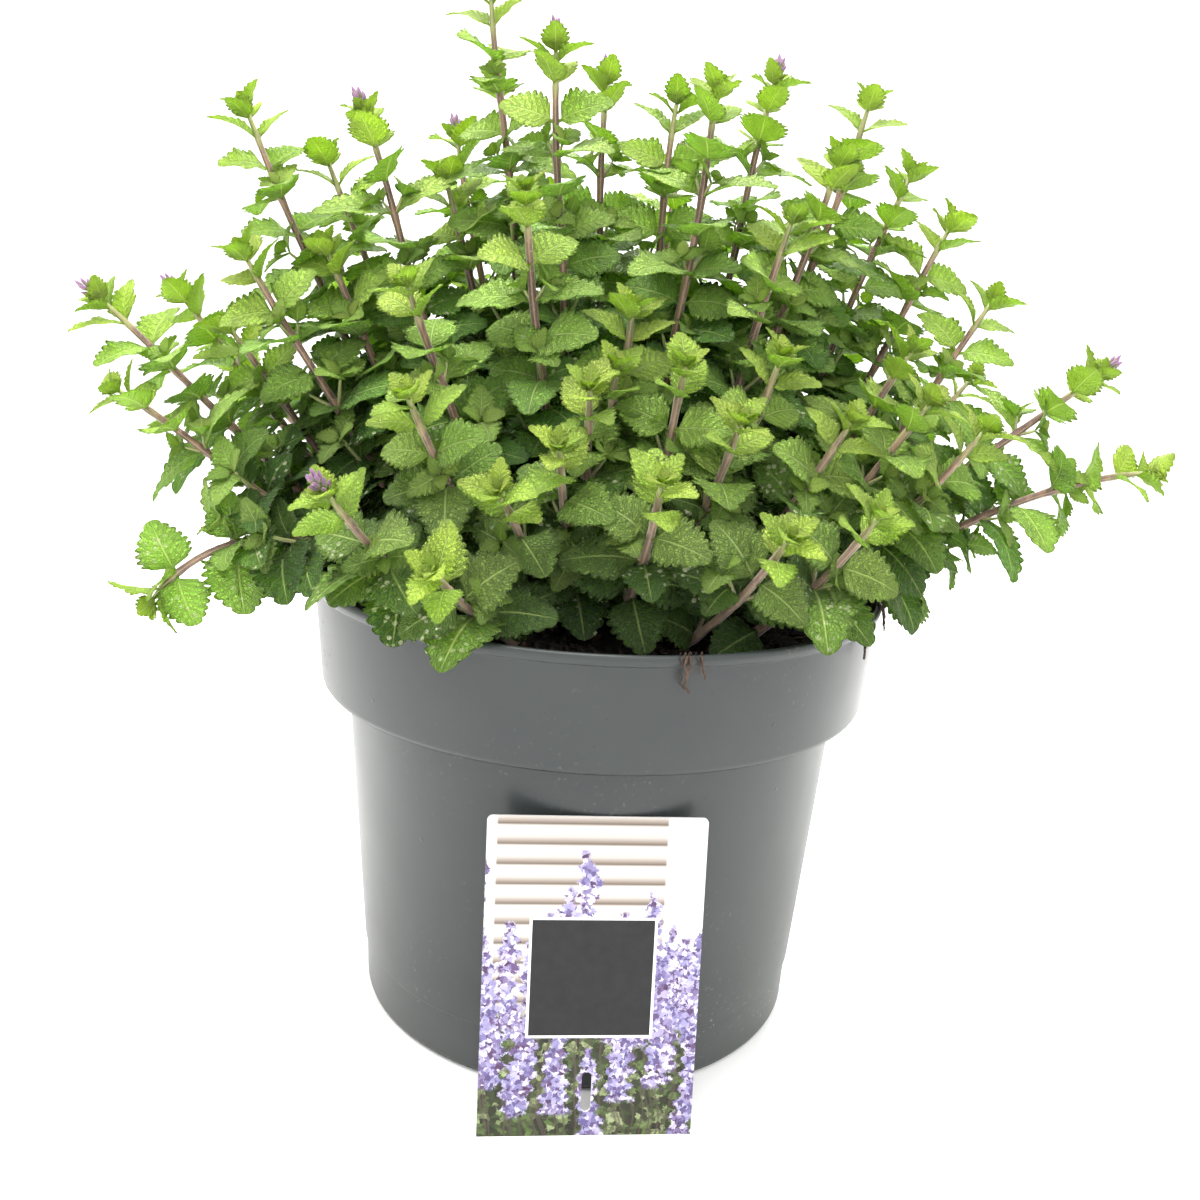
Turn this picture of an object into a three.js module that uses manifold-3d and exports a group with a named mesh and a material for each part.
// A potted catmint: a round nursery pot filled with compost, a clump of leafy shoots rooted in the compost,
// and a printed plant label that leans on the front of the pot.
// Millimetres, +Z up. The origin is the centre of the pot's base, and the label stands on the -Y side.
import * as THREE from "three";
import { mergeVertices } from "three/addons/utils/BufferGeometryUtils.js";
import Module from "manifold-3d";

const wasm = await Module();
wasm.setup();

const GAP = 0.3; // clearance between pieces that touch

// Pot
const POT_HEIGHT = 180;
const RIM_RADIUS = 115; // outside of the bead round the mouth
const BEAD_HEIGHT = 3;
const BEAD_DEPTH = 0.9; // how far the bead stands out of the collar
const COLLAR_HEIGHT = 44; // from the mouth to the collar's lower edge
const COLLAR_TAPER = 4.1; // how much narrower the collar is at its lower edge
const COLLAR_STEP = 10.5; // from the collar in to the body
const BODY_TAPER = 7.9; // how much narrower the body is at the foot band
const FOOT_HEIGHT = 22;
const FOOT_INSET = 0.8;
const FOOT_TAPER = 0.8;
const POT_WALL = 1.6;
const CHANNEL_DEPTH = 3; // the drain channel under the base
const CHANNEL_INNER = 58;
const CHANNEL_OUTER = 76;
const CHANNEL_SLOPE = 1.5;
const DRAIN_HOLES = 12;
const DRAIN_RADIUS = 2.5;
const POT_SIDES = 36;

// Compost
const HEADSPACE = 15; // from the mouth down to the compost at the wall
const MOUND = 3; // how much higher the compost is in the middle
const MOUND_RADIUS = 70;

// Shoots
const CLUMP_HEIGHT = 232; // from the compost in the middle of the pot to the tallest tip
const CLUMP_SPREAD = 1.8; // from the middle to the furthest tip, in rim radii
const ROOT_DEPTH = 12; // how far a stem goes down into the compost
const STEM_FOOT_RADIUS = 2.1; // half of a square stem's diagonal where it leaves the compost
const STEM_TIP_RADIUS = 1.2;
const FOOT_SHARE = 0.37; // a stem's foot lies this share of the way from the clump's middle to its tip
const STEM_RING = 60; // length of one straight piece of a stem
const INTERNODE = 31; // stem length from one leaf pair to the next
const BARE_STEM = 24; // stem length with no leaves above the compost
const CROWDED_TOP = 9; // stem length from the last leaf pair to the tip
const LEAF_LENGTH = 32; // a full-grown leaf
const YOUNG_LEAF = 21; // a leaf of the topmost pair
const LEAF_WIDTH_SHARE = 0.74;
const LEAF_WIDEST_AT = 0.4; // share of the length, from the stem
const LEAF_THICKNESS = 1.2; // along the midrib, petiole included
const LEAF_FOLD = 0.16; // how far the edges rise, as a share of the half width
const TOP_LEAF_RISE = 36; // degrees from square to the stem, for the topmost pair
const LOW_LEAF_RISE = 2; // and for the lowest
const BUD_LENGTH = 9;
const BUD_RADIUS = 2.4;
const LEAF_CLEARANCE = 0.5; // kept free round a leaf
const ROOM_TURNS = [0, 22, -22, 44, -44]; // degrees that a crowded leaf may turn round its stem
const ROOM_SCALES = [1, 0.82, 0.66]; // and how much smaller it may grow

// Label
const LABEL_WIDTH = 77;
const LABEL_HEIGHT = 118;
const LABEL_THICKNESS = 0.7;
const LABEL_CORNER = 2;
const LABEL_SLOT_WIDTH = 3.6;
const LABEL_SLOT_LENGTH = 15;
const LABEL_SLOT_UP = 9; // from the lower edge to the slot
const LABEL_FOOT_OUT = 15; // the lower edge stands this far in front of the upper one
const LABEL_TURN = 6; // degrees round the pot from the middle of its front
const LABEL_SHIFT = -5; // sideways, along its own plane

// Each shoot's tip from the middle of the compost's surface: right, back and up, and the arch of its stem,
// which is positive where the stem rises first and negative where it leans out first. The whole clump is
// stretched to CLUMP_HEIGHT and CLUMP_SPREAD.
const SHOOTS = [
  // the tall middle
  [-54, 25, 232, 0],
  [-27, -5, 208, 4],
  [-9, 45, 205, 3],
  [20, 35, 198, 0],
  [33, -10, 197, 0],
  [59, 45, 209, 2],
  [97, 35, 203, 0],
  [121, 60, 179, -4],
  [82, 10, 178, -2],
  [62, -20, 152, -4],
  [-149, 25, 185, 0],
  [-99, 10, 183, 5],
  [-71, 70, 183, 0],
  [-69, 25, 164, 4],
  // the front, from the left
  [-33, -45, 155, 6],
  [-70, -60, 122, 6],
  [-85, -105, 57, -6],
  [-50, -118, 38, -2],
  [-33, -95, 60, 4],
  [-65, -82, 87, 0],
  [-15, -88, 74, 4],
  [-7, -70, 92, 4],
  [7, -35, 118, 0],
  [26, -60, 101, -2],
  [2, -50, 98, 0],
  [60, -42, 105, -4],
  [44, -72, 84, -4],
  [18, -100, 66, -4],
  [84, -55, 85, -6],
  [89, -92, 58, -10],
  [59, -104, 52, -6],
  // the left side
  [-138, -15, 130, 0],
  [-192, -15, 110, 4],
  [-176, -42, 80, 4],
  [-178, 30, 112, 0],
  [-150, 3, 102, -3],
  [-162, -55, 12, 29],
  [-113, 5, 134, 0],
  [-120, 42, 170, 0],
  // the right side
  [111, -20, 109, -6],
  [139, 50, 159, -4],
  [153, 25, 129, -6],
  [186, -5, 104, 5],
  [206, -18, 71, 15],
  [135, -42, 83, -8],
  [113, -48, 92, -6],
  // the back
  [-30, 110, 165, 0],
  [25, 95, 180, 0],
  [75, 105, 150, -2],
  [120, 115, 115, -4],
  [165, 85, 95, -4],
  [-75, 125, 130, -2],
  [-125, 100, 120, 0],
  [-170, 80, 82, 2],
  [0, 150, 100, -2],
  [60, 160, 78, 0],
  [-60, 165, 70, 1],
];

const COLOURS = {
  pot: 0x6b7072,
  soil: 0x1d1613,
  shoot: 0x5f8f2c,
  label: 0xe9e6ea,
};

// The pot's radii, from the mouth down
const collarTop = RIM_RADIUS - BEAD_DEPTH;
const collarBottom = RIM_RADIUS - COLLAR_TAPER;
const bodyTop = collarBottom - COLLAR_STEP;
const bodyBottom = bodyTop - BODY_TAPER;
const footTop = bodyBottom - FOOT_INSET;
const footBottom = footTop - FOOT_TAPER;
const collarEdge = POT_HEIGHT - COLLAR_HEIGHT;
const soilLevel = POT_HEIGHT - HEADSPACE;

// How far the table of shoots is stretched
const widened = (CLUMP_SPREAD * RIM_RADIUS) / Math.max(...SHOOTS.map(([x, y]) => Math.hypot(x, y)));
const heightened = CLUMP_HEIGHT / Math.max(...SHOOTS.map(([, , height]) => height));

const UP = new THREE.Vector3(0, 0, 1);
const radians = THREE.MathUtils.degToRad;

function material(colour, roughness) {
  return new THREE.MeshStandardMaterial({ color: colour, roughness, metalness: 0 });
}

function namedMesh(name, geometry, surface) {
  const mesh = new THREE.Mesh(geometry, surface);
  mesh.name = name;
  return mesh;
}

// A closed geometry as a manifold-3d solid, and back again.
function toSolid(geometry) {
  const bare = geometry.clone();
  bare.deleteAttribute("normal");
  bare.deleteAttribute("uv");
  const merged = mergeVertices(bare, 1e-4);
  return new wasm.Manifold(
    new wasm.Mesh({
      numProp: 3,
      vertProperties: new Float32Array(merged.attributes.position.array),
      triVerts: new Uint32Array(merged.index.array),
    }),
  );
}

function toGeometry(solid) {
  const { numProp, vertProperties, triVerts } = solid.getMesh();
  const count = vertProperties.length / numProp;
  const position = new Float32Array(count * 3);
  for (let i = 0; i < count; i++) {
    position.set(vertProperties.subarray(i * numProp, i * numProp + 3), i * 3);
  }
  const geometry = new THREE.BufferGeometry();
  geometry.setAttribute("position", new THREE.BufferAttribute(position, 3));
  geometry.setIndex(new THREE.BufferAttribute(new Uint32Array(triVerts), 1));
  geometry.computeVertexNormals();
  return geometry;
}

// A profile of [radius, height] points turned about the Z axis.
function lathe(profile) {
  const points = profile.map(([radius, height]) => new THREE.Vector2(radius, height));
  return new THREE.LatheGeometry(points, POT_SIDES).rotateX(Math.PI / 2);
}

function makePot() {
  const floor = CHANNEL_DEPTH + POT_WALL;
  const wall = lathe([
    [0, 0],
    [CHANNEL_INNER, 0],
    [CHANNEL_INNER + CHANNEL_SLOPE, CHANNEL_DEPTH],
    [CHANNEL_OUTER - CHANNEL_SLOPE, CHANNEL_DEPTH],
    [CHANNEL_OUTER, 0],
    [footBottom, 0],
    [footTop, FOOT_HEIGHT],
    [bodyBottom, FOOT_HEIGHT + FOOT_INSET / 2],
    [bodyTop, collarEdge],
    [collarBottom - 1, collarEdge],
    [collarBottom, collarEdge + 1],
    [collarTop, POT_HEIGHT - BEAD_HEIGHT],
    [RIM_RADIUS, POT_HEIGHT - BEAD_HEIGHT + 0.5],
    [RIM_RADIUS, POT_HEIGHT - 0.6],
    [RIM_RADIUS - 0.6, POT_HEIGHT],
    [collarTop - POT_WALL, POT_HEIGHT],
    [collarBottom - POT_WALL, collarEdge + POT_WALL],
    [bodyTop - POT_WALL, collarEdge + POT_WALL],
    [bodyBottom - POT_WALL, FOOT_HEIGHT + FOOT_INSET / 2],
    [footTop - POT_WALL, FOOT_HEIGHT],
    [footTop - POT_WALL - 2, floor],
    [CHANNEL_INNER - CHANNEL_SLOPE, floor],
    [CHANNEL_INNER - 2 * CHANNEL_SLOPE, POT_WALL],
    [0, POT_WALL],
  ]);
  const drain = new THREE.CylinderGeometry(DRAIN_RADIUS, DRAIN_RADIUS, 3 * floor, 8).rotateX(Math.PI / 2);
  const drainRing = (CHANNEL_INNER + CHANNEL_OUTER) / 2;
  let solid = toSolid(wall);
  for (let i = 0; i < DRAIN_HOLES; i++) {
    const angle = (2 * Math.PI * (i + 0.5)) / DRAIN_HOLES;
    const hole = drain.clone().translate(drainRing * Math.cos(angle), drainRing * Math.sin(angle), 0);
    solid = solid.subtract(toSolid(hole));
  }
  return solid;
}

function makeSoil() {
  const floor = CHANNEL_DEPTH + POT_WALL + GAP;
  const inset = POT_WALL + GAP;
  const shoulder = collarEdge + inset;
  const wallSlope = (collarTop - collarBottom) / COLLAR_HEIGHT;
  const surfaceRadius = collarBottom - inset + wallSlope * (soilLevel - shoulder);
  return toSolid(
    lathe([
      [0, POT_WALL + GAP],
      [CHANNEL_INNER - 2 * CHANNEL_SLOPE - GAP, POT_WALL + GAP],
      [CHANNEL_INNER - CHANNEL_SLOPE - GAP, floor],
      [footTop - inset - 2, floor],
      [footTop - inset, FOOT_HEIGHT],
      [bodyBottom - inset, FOOT_HEIGHT + FOOT_INSET / 2 + GAP],
      [bodyTop - inset, shoulder],
      [collarBottom - inset - GAP, shoulder],
      [surfaceRadius - GAP, soilLevel],
      [MOUND_RADIUS, soilLevel + MOUND * 0.7],
      [0, soilLevel + MOUND],
    ]),
  );
}

// A repeatable number from -1 to 1 for each pair of whole numbers, so that no two leaves are alike.
function scatter(a, b) {
  const wave = Math.sin(a * 12.9898 + b * 78.233) * 43758.5453;
  return 2 * (wave - Math.floor(wave)) - 1;
}

// The line of a stem, from its buried foot to its tip, in the clump's own frame.
function stemCurve([x, y, height, arch]) {
  const tip = new THREE.Vector3(x * widened, y * widened, height * heightened);
  const foot = new THREE.Vector3(FOOT_SHARE * tip.x, FOOT_SHARE * tip.y, -ROOT_DEPTH);
  const middle = foot.clone().lerp(tip, 0.5).addScaledVector(UP, arch * 2);
  return new THREE.QuadraticBezierCurve3(foot, middle, tip);
}

// Two directions across a line, which stay steady from one end of a stem to the other.
function across(tangent) {
  const side = new THREE.Vector3(0, -1, 0).cross(tangent).normalize();
  return [side, tangent.clone().cross(side)];
}

// A square stem, bent from a four-sided cylinder. It starts below the surface of the compost.
function makeStem(curve, swell = 0) {
  const bend = curve.getLength() / curve.v0.distanceTo(curve.v2) - 1;
  const rings = Math.round(curve.getLength() / STEM_RING + 60 * bend) + 1;
  const stem = new THREE.CylinderGeometry(1, 1, 1, 4, rings);
  const position = stem.attributes.position;
  const point = new THREE.Vector3();
  for (let i = 0; i < position.count; i++) {
    point.fromBufferAttribute(position, i);
    const share = THREE.MathUtils.clamp(point.y + 0.5, 0, 1);
    const radius = THREE.MathUtils.lerp(STEM_FOOT_RADIUS, STEM_TIP_RADIUS, share) + swell;
    const tangent = curve.getTangentAt(share);
    const [side, front] = across(tangent);
    const centre = curve.getPointAt(share);
    if (share === 0) centre.addScaledVector(tangent, -swell);
    centre.addScaledVector(side, point.x * radius).addScaledVector(front, -point.z * radius);
    position.setXYZ(i, centre.x, centre.y, centre.z);
  }
  return toSolid(stem);
}

// An octahedron drawn out into a leaf: its near point lies in the stem and its far point is the leaf's tip.
function makeLeaf(leaf, swell = 0) {
  const blade = new THREE.OctahedronGeometry(1, 0);
  const position = blade.attributes.position;
  const point = new THREE.Vector3();
  const halfWidth = (leaf.length * LEAF_WIDTH_SHARE) / 2;
  for (let i = 0; i < position.count; i++) {
    point.fromBufferAttribute(position, i);
    const reach = point.y > 0 ? 1 : point.y < 0 ? 0 : LEAF_WIDEST_AT;
    const lift = LEAF_FOLD * halfWidth * Math.abs(point.x) + (point.z * LEAF_THICKNESS) / 2;
    const place = leaf.base
      .clone()
      .addScaledVector(leaf.along, reach * leaf.length + swell * point.y)
      .addScaledVector(leaf.sideways, point.x * (halfWidth + swell))
      .addScaledVector(leaf.face, lift + point.z * swell);
    position.setXYZ(i, place.x, place.y, place.z);
  }
  return toSolid(blade);
}

// A leaf's base, directions and length: node counts the pairs from the top, and turn is in degrees.
function leafAt(curve, share, node, angle, size, seed) {
  const base = curve.getPointAt(share);
  const tangent = curve.getTangentAt(share);
  const [side, front] = across(tangent);
  const out = side.multiplyScalar(Math.cos(angle)).addScaledVector(front, Math.sin(angle));
  const rise = THREE.MathUtils.lerp(LOW_LEAF_RISE, TOP_LEAF_RISE, 1 / (1 + node));
  const raised = radians(rise + 8 * scatter(seed, node));
  const along = out.multiplyScalar(Math.cos(raised)).addScaledVector(tangent, Math.sin(raised));
  along.z -= 0.05 * Math.min(node, 4);
  along.normalize();
  const face = tangent.clone().lerp(UP, 0.5);
  face.addScaledVector(along, -face.dot(along)).normalize();
  const sideways = along.clone().cross(face).normalize();
  return { base, along, face, sideways, length: size };
}

// A small pointed bud on the end of the stem.
function makeBud(curve) {
  const tangent = curve.getTangent(1);
  const bud = new THREE.OctahedronGeometry(1, 0).scale(BUD_RADIUS, BUD_LENGTH / 2, BUD_RADIUS);
  bud.applyQuaternion(new THREE.Quaternion().setFromUnitVectors(new THREE.Vector3(0, 1, 0), tangent));
  const centre = curve.getPoint(1).addScaledVector(tangent, BUD_LENGTH / 2 - 2);
  return toSolid(bud.translate(centre.x, centre.y, centre.z));
}

function boxesMeet(a, b) {
  return [0, 1, 2].every((i) => a.min[i] <= b.max[i] && b.min[i] <= a.max[i]);
}

function obstacle(owner, solid) {
  return { owner, solid, box: solid.boundingBox() };
}

function isFree(solid, owner, obstacles) {
  const box = solid.boundingBox();
  return obstacles.every(
    (other) => other.owner === owner || !boxesMeet(box, other.box) || solid.intersect(other.solid).isEmpty(),
  );
}

// The leaf pairs of a stem, from the top down, each at right angles to the next.
function leafPlaces(curve, index) {
  const length = curve.getLength();
  const places = [];
  for (let node = 0; ; node++) {
    const fromTop = CROWDED_TOP + node * INTERNODE * (0.75 + 0.06 * node);
    if (fromTop > length - ROOT_DEPTH - BARE_STEM) return places;
    const share = 1 - fromTop / length;
    const size = THREE.MathUtils.lerp(LEAF_LENGTH, YOUNG_LEAF, 1 / (1 + 0.8 * node));
    for (const sideOfPair of [0, 1]) {
      const seed = 10 * index + sideOfPair;
      const angle = Math.PI * (sideOfPair + node / 2) + index + 0.2 * scatter(seed, node);
      places.push({ share, node, angle, seed, size: size * (1 + 0.12 * scatter(seed, node + 50)) });
    }
  }
}

// The leaf as it grows, or the first turned or smaller one that has room. A leaf with no room is left out.
function growLeaf(curve, place, index, obstacles) {
  for (const scale of ROOM_SCALES) {
    for (const turn of ROOM_TURNS) {
      const angle = place.angle + radians(turn);
      const leaf = leafAt(curve, place.share, place.node, angle, scale * place.size, place.seed);
      if (isFree(makeLeaf(leaf, LEAF_CLEARANCE), index, obstacles)) return leaf;
    }
  }
  return null;
}

function makeShoots(pot, soil) {
  const curves = SHOOTS.map(stemCurve);
  const obstacles = [obstacle("pot", pot), obstacle("soil", soil)];
  curves.forEach((curve, i) => {
    obstacles.push(obstacle(i, makeStem(curve, LEAF_CLEARANCE)), obstacle(i, makeBud(curve)));
  });
  return curves.map((curve, i) => {
    let shoot = makeStem(curve).add(makeBud(curve));
    for (const place of leafPlaces(curve, i)) {
      const leaf = growLeaf(curve, place, i, obstacles);
      if (!leaf) continue;
      const solid = makeLeaf(leaf);
      obstacles.push(obstacle(i, solid));
      shoot = shoot.add(solid);
    }
    return { shoot, foot: curve.getPoint(0), socket: makeStem(curve, GAP * Math.SQRT2) };
  });
}

function makeLabel() {
  const half = LABEL_WIDTH / 2;
  const card = new THREE.Shape();
  card.moveTo(-half, 0);
  card.lineTo(half, 0);
  card.lineTo(half, LABEL_HEIGHT - LABEL_CORNER);
  card.absarc(half - LABEL_CORNER, LABEL_HEIGHT - LABEL_CORNER, LABEL_CORNER, 0, Math.PI / 2);
  card.lineTo(-half + LABEL_CORNER, LABEL_HEIGHT);
  card.absarc(-half + LABEL_CORNER, LABEL_HEIGHT - LABEL_CORNER, LABEL_CORNER, Math.PI / 2, Math.PI);
  card.closePath();
  const slot = new THREE.Path();
  const end = LABEL_SLOT_WIDTH / 2;
  slot.absarc(0, LABEL_SLOT_UP + end, end, Math.PI, 2 * Math.PI);
  slot.absarc(0, LABEL_SLOT_UP + LABEL_SLOT_LENGTH - end, end, 0, Math.PI);
  slot.closePath();
  card.holes.push(slot);
  const options = { depth: LABEL_THICKNESS, bevelEnabled: false, curveSegments: 4 };
  return new THREE.ExtrudeGeometry(card, options).rotateX(Math.PI / 2);
}

const potted = new THREE.Group();
const potSolid = makePot();
const clump = new THREE.Group();
clump.position.z = soilLevel;
let soilSolid = makeSoil();

const lowered = (solid) => solid.translate([0, 0, -soilLevel]);
const shoots = makeShoots(lowered(potSolid), lowered(soilSolid));
shoots.forEach(({ shoot, foot, socket }, i) => {
  soilSolid = soilSolid.subtract(socket.translate([0, 0, soilLevel]));
  const geometry = toGeometry(shoot).translate(-foot.x, -foot.y, -foot.z);
  const mesh = namedMesh(`shoot_${String(i + 1).padStart(2, "0")}`, geometry, material(COLOURS.shoot, 0.6));
  mesh.position.copy(foot);
  clump.add(mesh);
});

potted.add(namedMesh("pot", toGeometry(potSolid), material(COLOURS.pot, 0.45)));
potted.add(namedMesh("soil", toGeometry(soilSolid), material(COLOURS.soil, 0.95)));
potted.add(clump);

// The label stands on its lower edge and leans back until its upper edge meets the pot, on the body or on the
// collar.
const lean = Math.asin(LABEL_FOOT_OUT / LABEL_HEIGHT);
const labelTop = LABEL_HEIGHT * Math.cos(lean);
const { mapLinear } = THREE.MathUtils;
const bodyThere = mapLinear(labelTop, FOOT_HEIGHT, collarEdge, bodyBottom, bodyTop);
const collarThere = mapLinear(labelTop, collarEdge, POT_HEIGHT, collarBottom, collarTop);
const potThere = labelTop < collarEdge ? bodyThere : collarThere;
const label = namedMesh("plant_label", makeLabel(), material(COLOURS.label, 0.35));
label.position.set(LABEL_SHIFT, -(potThere + GAP + LABEL_FOOT_OUT), 0);
label.rotation.x = -lean;
const labelSide = new THREE.Group();
labelSide.rotation.z = radians(LABEL_TURN);
labelSide.add(label);
potted.add(labelSide);

export default potted;
